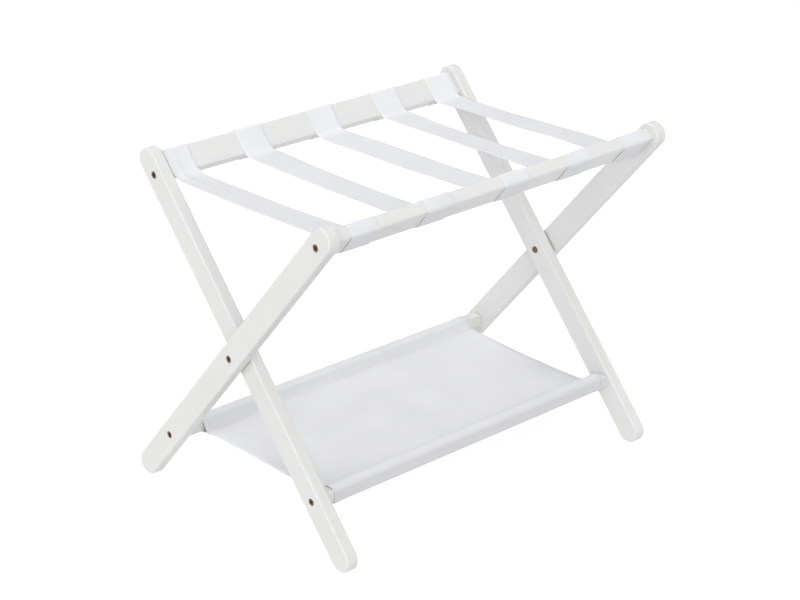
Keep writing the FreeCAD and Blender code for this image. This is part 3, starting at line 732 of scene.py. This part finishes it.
FRONT_FACE_PAINTED_SHADE = 0.89     # painted shade: the front sleeve's face is made greyer, as it looks
FRONT_FACE_SHADE_FADE = 5.5 * MM
FRONT_FACE_SHADE_LEAD = 3.3 * MM      # how far before the face the change comes
STITCH_LENGTH = 2.6 * MM
STITCH_PITCH = 3.4 * MM
STITCH_RADIUS = 0.22 * MM
STITCH_PROUD = 0.1 * MM
STITCH_SIDES = 6
STITCH_PROFILE = ((0, 0.15), (0.2, 1), (0.8, 1), (1, 0.15))     # share of the length, of the radius
SEAM_STITCH_IN = 1.5 * MM       # from the seam to its row of stitches
SEAM_ROW_END = 2 * MM           # from the cloth's edge to the end of that row
HEM_STITCH_IN = 1.8 * MM        # from the hem's inner edge to its row


def sleeve():
    """A sleeve about its rail's middle, as (inward, upward): from the cloth turned under at
    the seam, round the rail and back down to the seam."""
    half = LOWER_RAIL_SIZE / 2
    off = CLOTH_GAP + SHELF_THICKNESS / 2
    corner = half - WOOD_ARRIS
    radius = WOOD_ARRIS + off
    below_seam = -SEAM_DOWN - SHELF_THICKNESS
    points = [(SEAM_IN + SEAM_TURNING, below_seam), (SEAM_IN, below_seam)]
    # from the seam under the rail
    points += bezier(
        points[-1],
        (SEAM_IN - 4 * MM, below_seam - 0.5 * MM),
        (corner + 3 * MM, -half - off),
        (corner - 1 * MM, -half - off),
        5,
    )
    points += arc((-corner, -corner), radius, 270, 180)
    points += arc((-corner, corner), radius, 180, 90 + SLEEVE_LEAVE, 4)
    inner = arc((corner, corner), radius, 90 - SLEEVE_LEAVE, SLEEVE_RETURN, 4)
    leave = math.radians(SLEEVE_LEAVE)
    reach = (SLEEVE_FULLNESS * math.cos(leave), SLEEVE_FULLNESS * math.sin(leave))
    start = points[-1]
    # the loose dome over the rail's top
    points += bezier(
        start,
        (start[0] + reach[0], start[1] + reach[1]),
        (inner[0][0] - reach[0], inner[0][1] + reach[1]),
        inner[0],
        8,
    )
    points += inner[1:]
    # down to the seam
    points += bezier(
        points[-1],
        (points[-1][0] + 3 * MM, points[-1][1] - 6 * MM),
        (SEAM_IN - 3.5 * MM, -SEAM_DOWN + 4 * MM),
        (SEAM_IN, -SEAM_DOWN),
        6,
    )
    return points


def shelf_line():
    """The whole shelf, from the rear sleeve to the front one, in the YZ plane."""
    rear = [(LOWER_RAIL.y - inward, LOWER_RAIL.z + upward) for inward, upward in sleeve()]
    front = [(-y, z) for y, z in reversed(rear)]
    seam_y, seam_z = rear[-1]
    panel = [(seam_y * (1 - 2 * i / PANEL_STEPS), seam_z) for i in range(1, PANEL_STEPS)]
    return Line(divide(rear, SHELF_STEP) + panel + divide(front, SHELF_STEP)), seam_y


def rear_seam(line, seam_y):
    """How far along the line the rear seam is: in the turned-under cloth, then in the panel."""
    turned, seam = (d for (y, z), d in zip(line.points, line.lengths) if abs(y - seam_y) < 1e-9)
    return turned, seam


def shelf_place(seam_y, line):
    """How the cloth lies: the panel hangs at its right edge and stands up a little at its left,
    with faint pulls and folds, its rear seam rises, and the sleeves' loose tops are uneven."""
    turned, _ = rear_seam(line, seam_y)
    rail_face = LOWER_RAIL.y - LOWER_RAIL_SIZE / 2
    rail_top = LOWER_RAIL.z + LOWER_RAIL_SIZE / 2

    def place(across, distance, y, z):
        x = SHELF_MIDDLE + across
        rightness = (x - SHELF_LEFT) / SHELF_WIDTH
        free = max(0.0, 1 - (y / seam_y) ** 2)
        if not turned <= distance <= line.length - turned:
            free = 0.0
        sag = SAG_LEFT + (SAG_RIGHT - SAG_LEFT) * rightness
        pull = PULL_HEIGHT * ripple(x * 1.6, y * 0.5, 4, PULL_LENGTH)
        fold = FOLD_HEIGHT * ripple(x, y, 9, FOLD_LENGTH)
        edge = EDGE_WANDER * ripple(0, distance, rightness, EDGE_LENGTH)
        near = smooth_step((rail_face - y) / (rail_face - seam_y)) * max(y / seam_y + 1, 0) / 2
        rise = REAR_RISE * near ** 2 * smooth_step(rightness / REAR_RISE_SHARE)
        loose = smooth_step((z - rail_top - LOOSE_START) / LOOSE_REACH)
        along = (x - PINCH_PLACE - PINCH_SLANT * (y + LOWER_RAIL.y)) / PINCH_WIDTH
        pinch = PINCH_DEPTH * math.exp(-along * along) if y < 0 else 0.0
        uneven = LOOSE_HEIGHT * ripple(x, y, 2, LOOSE_LENGTH) - pinch
        height = z - sag * free + (pull + fold) * free + rise + uneven * loose
        return x + edge * (2 * rightness - 1), y, height

    return place


def hem_under(across):
    """The side hems are the cloth folded under once more."""
    inside = SHELF_WIDTH / 2 - HEM_WIDTH
    share = min(max((abs(across) - inside) / HEM_STEP, 0), 1)
    return SHELF_THICKNESS * share


def add_stitches(material, line, seam_y, place):
    """Rows of machine stitches: one along each sleeve's seam and one along each side hem."""
    verts = []
    faces = []
    sides = STITCH_SIDES

    def surface(across, distance):
        (y, z), (ny, nz) = line.at(distance)
        x, ry, rz = place(across, distance, y, z)
        rise = SHELF_THICKNESS / 2 + STITCH_PROUD
        return Vector((x, ry + ny * rise, rz + nz * rise)), Vector((0, ny, nz))

    def stitch(start, stop):
        p, normal = surface(*start)
        q, _ = surface(*stop)
        run = (q - p).normalized()
        side = run.cross(normal).normalized()
        base = len(verts)
        for share, size in STITCH_PROFILE:
            centre = p.lerp(q, share) - normal * STITCH_RADIUS * (1 - size)
            for k in range(sides):
                angle = 2 * math.pi * k / sides
                spoke = side * math.cos(angle) + normal * math.sin(angle)
                verts.append(centre + spoke * STITCH_RADIUS * size)
        for ring in range(len(STITCH_PROFILE) - 1):
            for k in range(sides):
                a = base + ring * sides + k
                b = base + ring * sides + (k + 1) % sides
                faces.append((a, a + sides, b + sides, b))
        faces.append(tuple(base + k for k in range(sides)))
        end = base + (len(STITCH_PROFILE) - 1) * sides
        faces.append(tuple(end + k for k in reversed(range(sides))))

    def row(start, stop):
        length = math.dist(start, stop)
        count = int(length / STITCH_PITCH)
        for i in range(count):
            shares = (i / count, (i + STITCH_LENGTH / STITCH_PITCH) / count)
            ends = [tuple(start[k] + (stop[k] - start[k]) * share for k in (0, 1)) for share in shares]
            stitch(*ends)

    half = SHELF_WIDTH / 2 - SEAM_ROW_END
    _, first = rear_seam(line, seam_y)
    last = line.length - first
    for distance in (first + SEAM_STITCH_IN, last - SEAM_STITCH_IN):
        row((-half, distance), (half, distance))
    for side in (-1, 1):
        across = side * (SHELF_WIDTH / 2 - HEM_WIDTH + HEM_STITCH_IN)
        row((across, first + 2 * SEAM_STITCH_IN), (across, last - 2 * SEAM_STITCH_IN))

    mesh = bpy.data.meshes.new("shelf_stitching")
    mesh.from_pydata(verts, [], faces)
    mesh.polygons.foreach_set("use_smooth", [True] * len(mesh.polygons))
    piece = bpy.data.objects.new("shelf_stitching", mesh)
    bpy.context.scene.collection.objects.link(piece)
    mesh.materials.append(material)
    return piece


def sewing_thread(name):
    """White thread with a fine twist."""
    material = new_material(name, THREAD_LIGHT, 0.7)
    tree = Tree(material)
    place = tree.add("ShaderNodeTexCoord").outputs["Object"]
    twist = tree.noise(place, scale=2600, detail=2)
    tree.feed(tree.shader.inputs["Normal"], tree.bump(twist, distance=0.05 * MM, strength=0.5))
    tree.feed(tree.shader.inputs["Base Color"], tree.mix(twist, THREAD_DARK, THREAD_LIGHT))
    return material


def add_shelf():
    line, seam_y = shelf_line()
    place = shelf_place(seam_y, line)
    half = SHELF_WIDTH / 2
    cloth = sweep("cloth_shelf", line, half, SHELF_THICKNESS, SHELF_COLUMNS, place, hem_under)
    material = woven("shelf_cloth", SHELF_LIGHT, SHELF_DARK, *SHELF_WEAVE)
    front_face = line.passes(-LOWER_RAIL.y - LOWER_RAIL_SIZE / 2)
    # painted shade: the cloth's colour is scaled down over the front sleeve's face
    change = (front_face - FRONT_FACE_SHADE_LEAD, FRONT_FACE_SHADE_FADE, FRONT_FACE_PAINTED_SHADE)
    paint_light_and_shade_along(material, 1.0, [change])
    cloth.data.materials.append(material)
    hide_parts("shelf_cloth")
    stitches = add_stitches(sewing_thread("white_thread"), line, seam_y, place)
    for piece in (cloth, stitches):
        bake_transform(piece)


# ---------------------------------------------------------------- the scene

add_camera()
add_world()
add_floor_and_backdrop()
for name, direction, strength in LIGHTS:
    add_light(name, direction, strength)
bpy.context.scene.view_settings.view_transform = "Standard"

dress_cad_nodes()
add_straps()
add_shelf()
